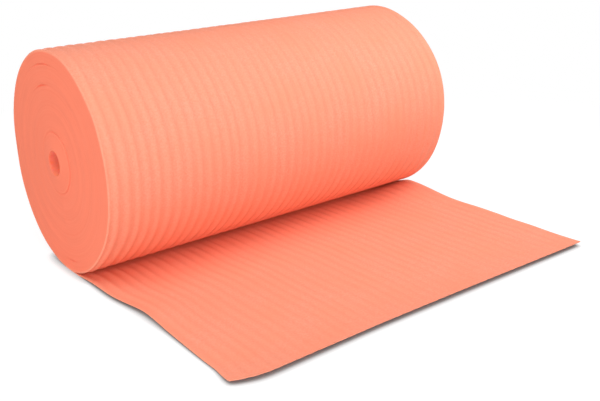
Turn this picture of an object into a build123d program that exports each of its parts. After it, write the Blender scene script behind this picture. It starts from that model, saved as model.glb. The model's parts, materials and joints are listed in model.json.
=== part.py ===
from build123d import *
import os
from math import atan, cos, degrees, radians, sin

# Part-unrolled roll of ribbed polyethylene foam underlay, lying on the floor.
# X runs along the axis of the roll, and the loose end runs out towards -Y.
# The origin lies on the floor under that axis, at mid-width. All sizes are in millimetres.

# The sheet, extruded with low ribs that run along its length
sheet_width = 1000.0
sheet_thickness = 2.0
sheet_rib_height = 0.5
rib_spacing = 25.6
rib_flank_share = 0.32

# The roll, measured over its ribs
roll_diameter = 515.0
bore_diameter = 50.0

# The ends of the turns. Every turn is as wide as the sheet, so what stands out at one end of the
# roll is sunk at the other. Offsets are towards -X, which is outwards at the near end.
core_diameter = 144.0
core_bore_offset = 6.0
core_edge_offset = 2.5
core_groove_width = 4.0
core_groove_offset = -1.5
turn_group_offset = 1.5
turn_group_shares = (0.5, -0.3, 0.4, -0.7, 0.2, -0.5, 0.6, -0.2, 0.3, 0.0)

# The loose end, pressed thin under the roll and lifting off the floor along its cut edge
loose_length = 695.0
pressed_thickness = 0.4
front_lift = 8.0
front_lift_length = 120.0

# The outermost turn comes off the roll in a tighter bend than the turns above it
heel_run = 12.0
heel_radius_share = 0.7
heel_turn = 45.0

# Values that follow from the sizes above
half_width = sheet_width / 2
rib_count = round(sheet_width / rib_spacing)
rib_pitch = sheet_width / rib_count
roll_radius = roll_diameter / 2
bore_radius = bore_diameter / 2
core_radius = core_diameter / 2
axis_height = pressed_thickness + roll_radius
flat_length = loose_length - front_lift_length


def end_edges(edge_x):
    """Outline of one end of the roll from the bore to the rim: domed core, groove and groups of turns."""
    first_radius = core_radius + core_groove_width
    group_depth = (roll_radius - first_radius) / len(turn_group_shares)
    bore_edge = (edge_x - core_bore_offset, bore_radius)
    core_edge = (edge_x - core_edge_offset, core_radius)
    groove_x = edge_x - core_groove_offset
    steps = [core_edge, (groove_x, core_radius), (groove_x, first_radius)]
    for i, share in enumerate(turn_group_shares):
        group_x = edge_x - turn_group_offset * share
        inner_radius = first_radius + i * group_depth
        steps.append((group_x, inner_radius))
        steps.append((group_x, inner_radius + group_depth))
    dome = TangentArc(bore_edge, core_edge, tangent=(0, 1))
    return [dome] + list(Polyline(*steps).edges())


def wound_roll():
    """The wound turns as one turned solid, with its bore and the groups of turns on both ends."""
    bore_wall = Line((-half_width - core_bore_offset, bore_radius), (half_width - core_bore_offset, bore_radius))
    rim = Line((-half_width, roll_radius), (half_width, roll_radius))
    outline = [bore_wall, rim] + end_edges(-half_width) + end_edges(half_width)
    section = Plane.XZ * make_face(outline)
    return Pos(0, 0, axis_height) * revolve(section, axis=Axis.X)


def sheet_section():
    """Section across the sheet: flat below, and above a row of ribs with two flanks and a flat crest."""
    valley = sheet_thickness - sheet_rib_height
    points = [(-half_width, 0), (-half_width, valley)]
    for i in range(rib_count):
        start = i * rib_pitch - half_width
        points.append((start + rib_flank_share * rib_pitch, sheet_thickness))
        points.append((start + (1 - rib_flank_share) * rib_pitch, sheet_thickness))
        points.append((start + rib_pitch, valley))
    points.append((half_width, 0))
    return Plane.XZ * make_face(Polyline(*points, close=True))


def loose_end():
    """The unrolled stretch: the sheet laid flat on the floor, then bent upwards along its cut edge."""
    section = sheet_section()
    flat = extrude(Pos(0, heel_run, 0) * section, heel_run + flat_length)
    lift_radius = (front_lift_length**2 + front_lift**2) / (2 * front_lift)
    lift_turn = degrees(2 * atan(front_lift / front_lift_length))
    lift_axis = Axis((0, -flat_length, lift_radius), (-1, 0, 0))
    lifted = revolve(Pos(0, -flat_length, 0) * section, axis=lift_axis, revolution_arc=lift_turn)
    return flat + lifted


def heel():
    """The outermost turn's tight bend behind the axis, with its upper side inside the roll."""
    radius = heel_radius_share * roll_radius
    turn = radians(heel_turn)
    bend_end = (heel_run + radius * sin(turn), radius * (1 - cos(turn)))
    bend_middle = (heel_run + radius * sin(turn / 2), radius * (1 - cos(turn / 2)))
    bend = ThreePointArc((heel_run, 0), bend_middle, bend_end)
    inside = Polyline(bend_end, (0, bend_end[1]), (0, 0), (heel_run, 0))
    section = Plane.YZ * make_face([bend] + list(inside.edges()))
    return extrude(section, half_width, both=True)


foam_roll = wound_roll() + heel() + loose_end()
foam_roll.label = "foam_roll"

os.makedirs("parts", exist_ok=True)
export_step(foam_roll, "parts/foam_roll.step")
print("solids", len(foam_roll.solids()), "volume mm3", round(foam_roll.volume), foam_roll.bounding_box())
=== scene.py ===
import json
from math import cos, pi, radians, sin

import bpy
import numpy as np
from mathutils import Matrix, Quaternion, Vector


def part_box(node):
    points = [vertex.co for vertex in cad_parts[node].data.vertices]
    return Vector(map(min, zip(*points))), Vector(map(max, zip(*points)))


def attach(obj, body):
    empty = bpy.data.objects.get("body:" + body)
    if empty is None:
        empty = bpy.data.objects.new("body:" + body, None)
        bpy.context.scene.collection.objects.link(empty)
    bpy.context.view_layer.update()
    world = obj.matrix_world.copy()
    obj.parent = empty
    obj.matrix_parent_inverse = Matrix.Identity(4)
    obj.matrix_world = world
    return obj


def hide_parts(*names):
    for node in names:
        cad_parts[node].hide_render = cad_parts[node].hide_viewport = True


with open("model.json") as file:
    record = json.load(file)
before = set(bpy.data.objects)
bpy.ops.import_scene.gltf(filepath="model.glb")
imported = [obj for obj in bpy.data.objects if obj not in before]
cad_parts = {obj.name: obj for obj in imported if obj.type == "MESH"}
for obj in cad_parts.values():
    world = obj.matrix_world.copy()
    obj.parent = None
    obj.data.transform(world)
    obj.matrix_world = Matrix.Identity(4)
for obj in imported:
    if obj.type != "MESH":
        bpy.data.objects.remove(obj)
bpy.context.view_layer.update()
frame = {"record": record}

# The wound sheet
# One sheet of extruded polyethylene foam, a metre wide, is wound up without a core tube and its last
# stretch lies loose on the floor. The die leaves low ribs along it, which the turns pile up into ridges.

# Sizes in metres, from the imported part: the roll lies along X and its loose end runs out towards -Y
bore = next(mount for mount in frame["record"]["mounts"] if mount["name"] == "bore")
cad_low, cad_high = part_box("foam_roll")
sheet_width = bore["dims"]["length_mm"] / 1000
bore_radius = bore["dims"]["r_mm"] / 1000
axis_height = bore["pos_m"][2]
roll_radius = cad_high.y
loose_length = -cad_low.y
half_width = sheet_width / 2
sheet_thickness = 0.002

# The ribs, with half a rib at each edge of the sheet. They are spaced unevenly, run at a slight slant and
# wander along the sheet in waves, each with a size, a length and a phase.
rib_count = 40
rib_seed = 39
rib_uneven_share = 0.1
rib_random_share = 0.06
rib_height_spread_share = 0.15
rib_fullness = 1.1
rib_slant = 0.006
rib_wanders = ((0.0016, 0.47, 0.4), (0.001, 0.21, 2.1))


def rib_relief(across, along):
    """Height over the valleys, as a share: a raised cosine between valleys that are unevenly spaced."""
    chance = np.random.default_rng(rib_seed)
    pitches = 1 + rib_uneven_share * (-1.0) ** np.arange(rib_count)
    pitches = pitches + rib_random_share * chance.standard_normal(rib_count)
    valley_shares = np.append(0, np.cumsum(pitches)) / pitches.sum() - 0.5
    valleys = valley_shares * sheet_width * rib_count / (rib_count - 1)
    heights = 1 - rib_height_spread_share * chance.random(rib_count)
    shift = rib_slant * along
    for size, length, phase in rib_wanders:
        shift = shift + size * np.sin(2 * pi * along / length + phase)
    place = np.interp(across + shift, valleys, np.arange(rib_count + 1))
    rib = np.clip(place.astype(int), 0, rib_count - 1)
    return heights[rib] * (0.5 - 0.5 * np.cos(2 * pi * place)) ** rib_fullness


# The turns. The outer one runs round to the heel, this far from the lowest point, and there it turns into
# the loose end. A bulge has an angle from the top in degrees, a height and a spread in degrees.
heel_angle = radians(7)
roll_rib_height = 0.0034
rim_rounding = 0.0035
rim_clear_angle = radians(28)
rim_flare = 0.0012
bulge_reach = 0.36
near_bulges = (
    (-148, 0.0035, 24),
    (-93, -0.0055, 13),
    (-43, 0.002, 16),
    (-16, 0.0008, 12),
    (21, 0.0026, 16),
    (57, 0.0026, 8),
    (135, -0.0042, 18),
)
far_bulges = (
    (25, -0.0025, 14),
    (64, 0.0022, 16),
    (107, -0.0026, 16),
    (140, 0.0012, 12),
)


def hill(distance, spread):
    """A smooth hill one high, which falls off as e to minus the square of distance over spread."""
    return np.exp(-((distance / spread) ** 2))


def ease(share):
    """Rises smoothly from 0 to 1 as the share does: three times its square less twice its cube."""
    share = np.clip(share, 0, 1)
    return share * share * (3 - 2 * share)


def turned(angle):
    """The same angle brought into the half turn on either side of zero."""
    return (angle + pi) % (2 * pi) - pi


def placed(x, y, z):
    """Three coordinates as one array of points."""
    return np.stack(np.broadcast_arrays(x, y, z), axis=-1)


def bulge(angle, across):
    """How far the turns stand out from a true circle: hills round each end that die out along the roll."""
    total = 0
    for bulges, end in ((near_bulges, -half_width), (far_bulges, half_width)):
        height_at_end = rim_flare
        for at, height, spread in bulges:
            height_at_end = height_at_end + height * hill(turned(angle - radians(at)), radians(spread))
        total = total + height_at_end * hill(across - end, bulge_reach)
    return total


def rolled(angle, across):
    """Outer turn at an angle from the top, positive to the front: a ribbed cylinder with rounded rims."""
    along = roll_radius * (angle + pi)
    above_heel = ease((pi - heel_angle - np.abs(angle)) / rim_clear_angle)
    from_rim = np.clip(half_width - np.abs(across), 0, rim_rounding)
    corner = rim_rounding - np.sqrt(rim_rounding**2 - (rim_rounding - from_rim) ** 2)
    radius = roll_radius - roll_rib_height * (1 - rib_relief(across, along)) * above_heel
    radius = radius + (bulge(angle, across) - corner) * above_heel
    return placed(across, -radius * np.sin(angle), axis_height + radius * np.cos(angle))


# The loose end. Waves lift it off the floor, each with a height, a place in X and Y and a spread in X and Y.
# Its front edge bends up, and its cut edges are drawn in here and there, over spans from the roll's axis.
heel_y = -roll_radius * sin(heel_angle)
heel_clear_length = 0.1
heel_rib_height = 0.0019
heel_rib_length = 0.11
loose_rib_height = 0.0012
loose_waves = (
    (0.006, -0.5, -0.2, 0.12, 0.2),
    (0.0062, -0.5, -0.35, 0.09, 0.07),
    (0.0025, -0.5, -0.52, 0.15, 0.15),
    (0.0195, 0.5, -0.128, 0.11, 0.12),
    (0.002, 0.5, -0.38, 0.1, 0.06),
    (0.0025, 0.1, -0.33, 0.3, 0.16),
)
front_lift = 0.01
front_lift_length = 0.12
front_settle_share = 0.2
front_rib_share = 0.35
front_rib_length = 0.05
front_hollow_at = -0.16
front_hollow_slope = 0.0165
front_hollow_rounding = 0.04
front_hollow_depth = 0.0025
front_skew = 0.005
left_draw = 0.0145
left_draw_span = (0.19, 0.35)
left_ease_share = 0.5
left_ease_span = (0.36, 0.64)
left_return_span = (0.607, 0.667)
left_corner_draw = 0.025
left_corner_reach = 0.085
right_draw = 0.003
right_draw_span = (0.44, 0.5)
right_corner_draw = 0.0225
right_corner_length = 0.15
right_corner_power = 1.5


def share_past(y, span):
    """Rises smoothly from 0 to 1 along the loose end, between two distances from the roll's axis."""
    return ease((-y - span[0]) / (span[1] - span[0]))


def loose_lift(x, y):
    """Height of the loose end's underside: hills at the waves and a parabola up to the cut front edge."""
    lift = 0
    for height, at_x, at_y, spread_x, spread_y in loose_waves:
        lift = lift + height * hill(x - at_x, spread_x) * hill(y - at_y, spread_y)
    clear_of_heel = ease((heel_y - y) / heel_clear_length)
    past_bend = np.clip((front_lift_length - loose_length - y) / front_lift_length, 0, None)
    front = front_lift * (1 - front_settle_share * ease(x / half_width))
    return lift * clear_of_heel + front * past_bend**2


def loose(share, across):
    """Loose end's underside and top at a share of its length from the heel: a flat ribbed sheet, with each
    edge drawn in by smooth steps that fade out across it, and lifted in waves."""
    from_left = across / sheet_width + 0.5
    left_corner = np.clip(1 - from_left * sheet_width / left_corner_reach, 0, 1) ** 2
    from_hollow = across - front_hollow_at
    front_y = front_hollow_depth - loose_length + left_corner_draw * left_corner - front_skew * from_hollow
    front_y = front_y - front_hollow_slope * np.hypot(from_hollow, front_hollow_rounding)
    y = heel_y + (front_y - heel_y) * share
    left = left_draw * share_past(y, left_draw_span) * (1 - left_ease_share * share_past(y, left_ease_span))
    left = left * (1 - share_past(y, left_return_span))
    past_right = np.clip((right_corner_length - loose_length - y) / right_corner_length, 0, None)
    right = right_draw * share_past(y, right_draw_span) + right_corner_draw * past_right**right_corner_power
    x = across + left * (1 - from_left) - right * from_left
    off_heel = ease(share * loose_length / heel_clear_length)
    near_heel = hill(heel_y - heel_clear_length - y, heel_rib_length)
    near_front = ease(1 - (1 - share) * loose_length / front_rib_length)
    rib_height = loose_rib_height + (heel_rib_height - loose_rib_height) * near_heel
    rib_height = rib_height * off_heel * (1 - (1 - front_rib_share) * near_front)
    z = loose_lift(x, y) + rib_height * rib_relief(across, y)
    return placed(x, y, z), placed(x, y, z + sheet_thickness)


# The ends of the turns: a proud, domed core of tight turns, a groove, then groups of turns pushed in or out.
# A gap between turns has a radius, an angle and a spread in degrees, a depth and a width.
core_radius = 0.07
core_bore_offset = 0.0065
core_edge_offset = 0.0014
core_groove = 0.004
core_groove_depth = 0.0003
groove_wall_share = 0.15
group_offset = 0.0009
group_shares = (0.5, -0.3, 0.4, -0.7, 0.2, -0.5, 0.6, -0.2, 0.3, 0.0, 0.0)
group_step_share = 0.2
turn_gaps = (
    (0.224, -8, 15, 0.005, 0.001),
    (0.178, -16, 10, 0.005, 0.001),
    (0.229, 174, 9, 0.005, 0.001),
)
bore_lip = 0.005
bore_lip_depth = 0.012
bulge_inward_power = 3


def turn_shift(radius, angle):
    """How far the turns at a radius are pushed towards -X: a domed core, a groove, then spiral steps."""
    dome = ease((core_radius - radius) / (core_radius - bore_radius))
    core = core_edge_offset + (core_bore_offset - core_edge_offset) * dome
    first_radius = core_radius + core_groove
    last_group = len(group_shares) - 1
    group_depth = (roll_radius - first_radius) / last_group
    turn = np.clip((radius - first_radius) / group_depth + angle / (2 * pi), 0, last_group)
    group = np.minimum(turn.astype(int), last_group - 1)
    step = ease((turn - group - 1 + group_step_share) / group_step_share)
    shares = np.array(group_shares)
    groups = group_offset * (shares[group] + (shares[group + 1] - shares[group]) * step)
    past_core = (radius - core_radius) / core_groove
    outside_core = np.where(past_core < 1 - groove_wall_share, -core_groove_depth, groups)
    return np.where(past_core < groove_wall_share, core, outside_core)


def end_rings(radii, angles, end):
    """One end of the roll as rings from the rim to the bore, set in or out by the turns' own shift. The
    gaps are hills cut into the near end, and the bulges die out inwards by a power of the radius."""
    radius, angle = np.meshgrid(radii, angles, indexing="ij")
    shift = turn_shift(radius, angle)
    if end < 0:
        for at, angle_at, spread, depth, width in turn_gaps:
            gap = hill(radius - at, width) * hill(turned(angle - radians(angle_at)), radians(spread))
            shift = shift - depth * gap
    into_bore = 1 - ease((radius - bore_radius) / bore_lip)
    x = end - shift - np.sign(end) * bore_lip_depth * into_bore
    bulge_share = (radius / roll_radius) ** bulge_inward_power
    radius = radius + bulge(angle, np.full_like(angle, end)) * bulge_share
    return placed(x, -radius * np.sin(angle), axis_height + radius * np.cos(angle))


# Columns across the sheet, closer together in the rounded rims
rib_columns = 8
rim_column_shares = (0.12, 0.45, 1.0)
across = np.linspace(-half_width, half_width, rib_count * rib_columns + 1)
rim_columns = [half_width - rim_rounding * share for share in rim_column_shares]
across = np.sort(np.concatenate([across, rim_columns, np.negative(rim_columns)]))

# Rows round the sheet: under the loose end to the heel, round the roll, then back along the loose end's top
loose_rows = 64
heel_rows = 3
row_angle = radians(3)
loose_shares = np.linspace(0, 1, loose_rows)[:, None]
under, top = loose(loose_shares, across[None, :])
heel_shares = np.linspace(1, 0, heel_rows + 1)[1:-1, None]
heel = placed(across[None, :], under[0, :, 1] * heel_shares, 0)
roll_angles = np.linspace(-pi, pi - heel_angle, round((2 * pi - heel_angle) / row_angle) + 1)
roll = rolled(roll_angles[:, None], across[None, :])
roll[0, :, 2] = 0
side = np.concatenate([under[::-1], heel, roll, top[1:]])

# Rings on both ends, closer together at the gaps, the groove and the bore's lip, and the wall of the bore.
# The rows under the heel close the circle.
ring_spacing = 0.0045
gap_ring_offsets = (-0.0024, -0.0008, 0.0008, 0.0024)
groove_ring_shares = (1, 0.7, 0.2, 0)
dome_rings = 8
lip_ring_shares = (0.6, 0.25, 0)
closing_share = 0.75
bore_columns = 12
turn_radii = np.arange(roll_radius - rim_rounding - ring_spacing, core_radius + core_groove, -ring_spacing)
gap_radii = [gap[0] + offset for gap in turn_gaps for offset in gap_ring_offsets]
groove_radii = [core_radius + core_groove * share for share in groove_ring_shares]
dome_radii = np.linspace(core_radius, bore_radius + bore_lip, dome_rings + 1)[1:]
lip_radii = [bore_radius + bore_lip * share for share in lip_ring_shares]
radii = np.sort(np.concatenate([turn_radii, gap_radii, groove_radii, dome_radii, lip_radii]))[::-1]
closing_angles = pi - heel_angle * np.linspace(1, 0, heel_rows + 1)[:-1] * closing_share
angles = np.concatenate([closing_angles - 2 * pi, roll_angles])
near = end_rings(radii, angles, -half_width)
far = end_rings(radii, angles, half_width)
bore_shares = np.linspace(0, 1, bore_columns + 2)[1:-1, None, None]
bore_wall = near[-1] + (far[-1] - near[-1]) * bore_shares

# Vertex numbers of each grid
blocks = (side, near, far, bore_wall)
starts = np.cumsum([0] + [block[..., 0].size for block in blocks])
side_n, near_n, far_n, bore_n = (
    start + np.arange(block[..., 0].size).reshape(block.shape[:2]) for start, block in zip(starts, blocks))
first_disc_row = loose_rows - 1
last_disc_row = first_disc_row + heel_rows + len(roll_angles) - 1
disc_rows = np.arange(first_disc_row, last_disc_row + 1)
top_rows = np.arange(last_disc_row, len(side))
under_rows = np.arange(loose_rows)[::-1]


def closed(numbers):
    """The grid with its first column repeated after its last."""
    return np.concatenate([numbers, numbers[:, :1]], axis=1)


def quads(numbers):
    """The four corners of every face of a grid of vertex numbers, row by row."""
    corners = (numbers[:-1, :-1], numbers[1:, :-1], numbers[1:, 1:], numbers[:-1, 1:])
    return np.stack(corners, axis=-1).reshape(-1, 4)


# The mesh: the side, both ends, the bore and the loose end's two cut edges. The attribute cut_edge is 1 on
# the ends of the turns and 0 on the skin.
sharp_angle = radians(50)
near_disc = closed(np.concatenate([side_n[None, disc_rows, 0], near_n]))
far_disc = closed(np.concatenate([side_n[None, disc_rows, -1], far_n]))
bore_grid = closed(np.concatenate([near_n[-1:], bore_n, far_n[-1:]]))
faces = np.concatenate([
    quads(np.concatenate([side_n, side_n[:1]])),
    quads(near_disc),
    quads(far_disc[::-1]),
    quads(bore_grid),
    quads(side_n[[top_rows, under_rows], 0]),
    quads(side_n[[under_rows, top_rows], -1]),
])
points = np.concatenate([block.reshape(-1, 3) for block in blocks])
cut_edge = np.zeros(len(points), np.float32)
cut_edge[near_n] = 1
cut_edge[far_n] = 1
foam_mesh = bpy.data.meshes.new("foam_sheet")
foam_mesh.from_pydata(points.tolist(), [], faces.tolist())
foam_mesh.polygons.foreach_set("use_smooth", np.ones(len(faces), bool))
foam_mesh.set_sharp_from_angle(angle=sharp_angle)
foam_mesh.attributes.new("cut_edge", "FLOAT", "POINT").data.foreach_set("value", cut_edge)
foam_sheet = bpy.data.objects.new("foam_sheet", foam_mesh)
bpy.context.scene.collection.objects.link(foam_sheet)


def linear(hex_colour):
    """An sRGB hex colour as linear red, green, blue and alpha."""
    channels = np.array([int(hex_colour[i:i + 2], 16) / 255 for i in (1, 3, 5)])
    straight = np.where(channels <= 0.04045, channels / 12.92, ((channels + 0.055) / 1.055) ** 2.4)
    return (*straight.tolist(), 1.0)


def add_node(tree, kind, inputs=None, **settings):
    """Adds a node of a kind, with its settings, and its inputs as values or as links from other nodes."""
    made = tree.nodes.new(kind)
    for name, value in settings.items():
        setattr(made, name, value)
    for socket, value in (inputs or {}).items():
        if isinstance(value, bpy.types.NodeSocket):
            tree.links.new(value, made.inputs[socket])
        else:
            made.inputs[socket].default_value = value
    return made


def polyethylene_foam():
    """Closed-cell polyethylene foam, extruded: a matt skin with a fine grain of cells and faint clouds, and
    on the cut ends of the roll the edges of its turns as thin rings. Light passes a little way through the
    foam, which shows in the bore. Cells and turns are drawn coarser than real, so that they show."""
    cell_size = 0.004
    cell_depth = 0.0004
    cloud_size = 0.09
    turn_line = 0.005
    turn_depth = 0.0006
    bump_strength = 0.5
    light_reach = 0.03
    light_reach_shares = (1.0, 0.35, 0.15)
    dark_cell = linear("#F27B58")
    light_cell = linear("#FFBBA4")
    clouded_skin = linear("#FF9A7A")
    dark_turn = linear("#FB8264")
    light_turn = linear("#FF8D6F")

    material = bpy.data.materials.new("polyethylene_foam")
    material.use_nodes = True
    tree = material.node_tree
    shader = tree.nodes["Principled BSDF"]
    place = add_node(tree, "ShaderNodeTexCoord").outputs["Object"]
    cells = add_node(tree, "ShaderNodeTexNoise", {
        "Vector": place, "Scale": 1 / cell_size, "Detail": 3.0, "Roughness": 0.65})
    clouds = add_node(tree, "ShaderNodeTexNoise", {"Vector": place, "Scale": 1 / cloud_size, "Detail": 3.0})
    grain = add_node(tree, "ShaderNodeMix", {
        "Factor": cells.outputs["Fac"], "A": dark_cell, "B": light_cell}, data_type="RGBA")
    skin = add_node(tree, "ShaderNodeMix", {
        "Factor": clouds.outputs["Fac"], "A": grain.outputs["Result"], "B": clouded_skin}, data_type="RGBA")
    off_axis = add_node(tree, "ShaderNodeMapping", {
        "Vector": place, "Location": (0, 0, -axis_height), "Scale": (0, 1, 1)})
    radius = add_node(tree, "ShaderNodeVectorMath", {0: off_axis.outputs["Vector"]}, operation="LENGTH")
    turns = add_node(tree, "ShaderNodeTexNoise", {
        "W": radius.outputs["Value"], "Scale": 1 / turn_line, "Detail": 2.0}, noise_dimensions="1D")
    ends = add_node(tree, "ShaderNodeMix", {
        "Factor": turns.outputs["Fac"], "A": dark_turn, "B": light_turn}, data_type="RGBA")
    cut = add_node(tree, "ShaderNodeAttribute", attribute_name="cut_edge")
    colour = add_node(tree, "ShaderNodeMix", {
        "Factor": cut.outputs["Fac"], "A": skin.outputs["Result"], "B": ends.outputs["Result"]},
        data_type="RGBA")
    grain_bump = add_node(tree, "ShaderNodeBump", {
        "Height": cells.outputs["Fac"], "Distance": cell_depth, "Strength": bump_strength})
    turn_height = add_node(tree, "ShaderNodeMath", {
        0: turns.outputs["Fac"], 1: cut.outputs["Fac"]}, operation="MULTIPLY")
    turn_bump = add_node(tree, "ShaderNodeBump", {
        "Height": turn_height.outputs["Value"], "Distance": turn_depth, "Strength": bump_strength,
        "Normal": grain_bump.outputs["Normal"]})
    in_bore = add_node(tree, "ShaderNodeMapRange", {
        "Value": radius.outputs["Value"], "From Min": bore_radius + bore_lip,
        "From Max": bore_radius + bore_lip / 2})
    tree.links.new(colour.outputs["Result"], shader.inputs["Base Color"])
    tree.links.new(turn_bump.outputs["Normal"], shader.inputs["Normal"])
    tree.links.new(in_bore.outputs["Result"], shader.inputs["Subsurface Weight"])
    shader.inputs["Subsurface Radius"].default_value = light_reach_shares
    shader.inputs["Subsurface Scale"].default_value = light_reach
    shader.inputs["Roughness"].default_value = 0.7
    shader.inputs["IOR"].default_value = 1.5
    shader.inputs["Specular IOR Level"].default_value = 0.1
    return material


foam_mesh.materials.append(polyethylene_foam())
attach(foam_sheet, "root")
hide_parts("foam_roll")

# The studio floor
# A plain floor, painted white, that runs out of view. It is shown as even white, with a faint share of the
# roll's real shadow and painted shade near the object, darkest in a line where the sheet lies on it.
floor_size = 24.0
floor_drop = 0.0002
floor_white = 0.82
floor_clear_radius = 1.3
floor_fade = 0.5
floor_gain = 1.7
floor_lit_share = 0.12
# Painted shade near the object: how far it looks for cover, its samples, and the open-sky range and levels
# it maps between
contact_reach = 0.03
contact_samples = 16
contact_range = (0.22, 0.9)
contact_levels = (0.07, 1.0)

floor_reach = floor_size / 2
floor_corners = np.array([(-1, -1, 0), (1, -1, 0), (1, 1, 0), (-1, 1, 0)]) * floor_reach
floor_mesh = bpy.data.meshes.new("floor")
floor_mesh.from_pydata(floor_corners.tolist(), [], [(0, 1, 2, 3)])
floor = bpy.data.objects.new("floor", floor_mesh)
floor.location.z = cad_low.z - floor_drop
bpy.context.scene.collection.objects.link(floor)


def seen_ray(tree):
    """1 for a ray that shows the background itself, straight, mirrored or through glass, and 0 for one that
    lights the object: the greatest of the three kinds of ray."""
    ray = add_node(tree, "ShaderNodeLightPath")
    mirrored = add_node(tree, "ShaderNodeMath", {
        0: ray.outputs["Is Camera Ray"], 1: ray.outputs["Is Glossy Ray"]}, operation="MAXIMUM")
    seen = add_node(tree, "ShaderNodeMath", {
        0: mirrored.outputs["Value"], 1: ray.outputs["Is Transmission Ray"]}, operation="MAXIMUM")
    return seen.outputs["Value"]


def floor_paint():
    """White paint, matt. What is seen of it is plain white far out, and near the object painted shade, white
    that darkens where little sky is open to it, mixed with a share of the light that falls there."""
    material = bpy.data.materials.new("floor_paint")
    material.use_nodes = True
    tree = material.node_tree
    tree.nodes.remove(tree.nodes["Principled BSDF"])
    place = add_node(tree, "ShaderNodeTexCoord").outputs["Object"]
    distance = add_node(tree, "ShaderNodeVectorMath", {0: place}, operation="LENGTH")
    away = add_node(tree, "ShaderNodeMapRange", {
        "Value": distance.outputs["Value"], "From Min": floor_clear_radius,
        "From Max": floor_clear_radius + floor_fade})
    open_sky = add_node(tree, "ShaderNodeAmbientOcclusion", {
        "Distance": contact_reach}, samples=contact_samples)
    contact = add_node(tree, "ShaderNodeMapRange", {
        "Value": open_sky.outputs["AO"], "From Min": contact_range[0], "From Max": contact_range[1],
        "To Min": contact_levels[0], "To Max": contact_levels[1]})
    paint = add_node(tree, "ShaderNodeBsdfDiffuse", {"Color": (floor_white, floor_white, floor_white, 1)})
    lit = add_node(tree, "ShaderNodeBsdfDiffuse", {"Color": (floor_gain, floor_gain, floor_gain, 1)})
    white = add_node(tree, "ShaderNodeEmission", {"Strength": 1.0})
    shaded = add_node(tree, "ShaderNodeEmission", {"Strength": contact.outputs["Result"]})
    close = add_node(tree, "ShaderNodeMixShader", {
        0: floor_lit_share, 1: shaded.outputs["Emission"], 2: lit.outputs["BSDF"]})
    shown = add_node(tree, "ShaderNodeMixShader", {
        0: away.outputs["Result"], 1: close.outputs["Shader"], 2: white.outputs["Emission"]})
    mixed = add_node(tree, "ShaderNodeMixShader", {
        0: seen_ray(tree), 1: paint.outputs["BSDF"], 2: shown.outputs["Shader"]})
    tree.links.new(mixed.outputs["Shader"], tree.nodes["Material Output"].inputs["Surface"])
    return material


floor_mesh.materials.append(floor_paint())

# The light
# Even light comes from all round. A low lamp on the left rakes across the near end and the ribs, two large
# ones shine from in front and above, and small ones fill the right, the foot of the roll and the back.
world_level = 0.31
white_level = 1.0
world = bpy.data.worlds.new("studio")
bpy.context.scene.world = world
world.use_nodes = True
world_light = world.node_tree.nodes["Background"]
world_light.inputs["Color"].default_value = (1, 1, 1, 1)
world_strength = add_node(world.node_tree, "ShaderNodeMapRange", {
    "Value": seen_ray(world.node_tree), "To Min": world_level, "To Max": white_level})
world.node_tree.links.new(world_strength.outputs["Result"], world_light.inputs["Strength"])

# Each lamp's name, place, width and power in watts
lamps = (
    ("left_lamp", (-3.2, -0.8, 0.6), 1.0, 28.0),
    ("front_lamp", (-0.9, -3.6, 1.9), 2.0, 41.0),
    ("top_lamp", (-1.4, -0.6, 3.2), 1.6, 32.0),
    ("right_lamp", (0.9, -1.0, 1.5), 0.8, 12.5),
    ("low_lamp", (-1.0, -3.4, 0.35), 0.6, 7.0),
    ("back_lamp", (0.9, 3.4, 0.4), 0.8, 24.0),
)
lamp_target = Vector((0, -0.2, 0.25))
for name, place, width, power in lamps:
    lamp_data = bpy.data.lights.new(name, "AREA")
    lamp_data.size = width
    lamp_data.energy = power
    lamp = bpy.data.objects.new(name, lamp_data)
    lamp.location = place
    lamp.rotation_euler = (lamp_target - lamp.location).to_track_quat("-Z", "Y").to_euler()
    bpy.context.scene.collection.objects.link(lamp)

# The camera
# It stands in front of the near end, a little above the roll, and looks down along the loose end. Its lens
# is shifted, because the photograph's centre of view isn't the centre of the picture.
image_width = 600
image_height = 401
focal_pixels = 851.7
view_centre_pixel = (275.5, 143.9)
sensor_width = 36.0
camera_azimuth = radians(-36.469)
camera_elevation = radians(15.264)
camera_roll = radians(-2.368)
camera_distance = 1.93571
camera_target = Vector((-0.09202, -0.28228, 0.2774))

camera_data = bpy.data.cameras.new("camera")
camera_data.sensor_fit = "HORIZONTAL"
camera_data.sensor_width = sensor_width
camera_data.lens = focal_pixels / image_width * sensor_width
camera_data.shift_x = (image_width / 2 - view_centre_pixel[0]) / image_width
camera_data.shift_y = (view_centre_pixel[1] - image_height / 2) / image_width
camera = bpy.data.objects.new("camera", camera_data)
level = cos(camera_elevation)
back = Vector((sin(camera_azimuth) * level, -cos(camera_azimuth) * level, sin(camera_elevation)))
camera.location = camera_target + back * camera_distance
camera.rotation_mode = "QUATERNION"
camera.rotation_quaternion = (-back).to_track_quat("-Z", "Y") @ Quaternion((0, 0, 1), camera_roll)
bpy.context.scene.collection.objects.link(camera)
bpy.context.scene.camera = camera
bpy.context.scene.view_settings.view_transform = "Standard"
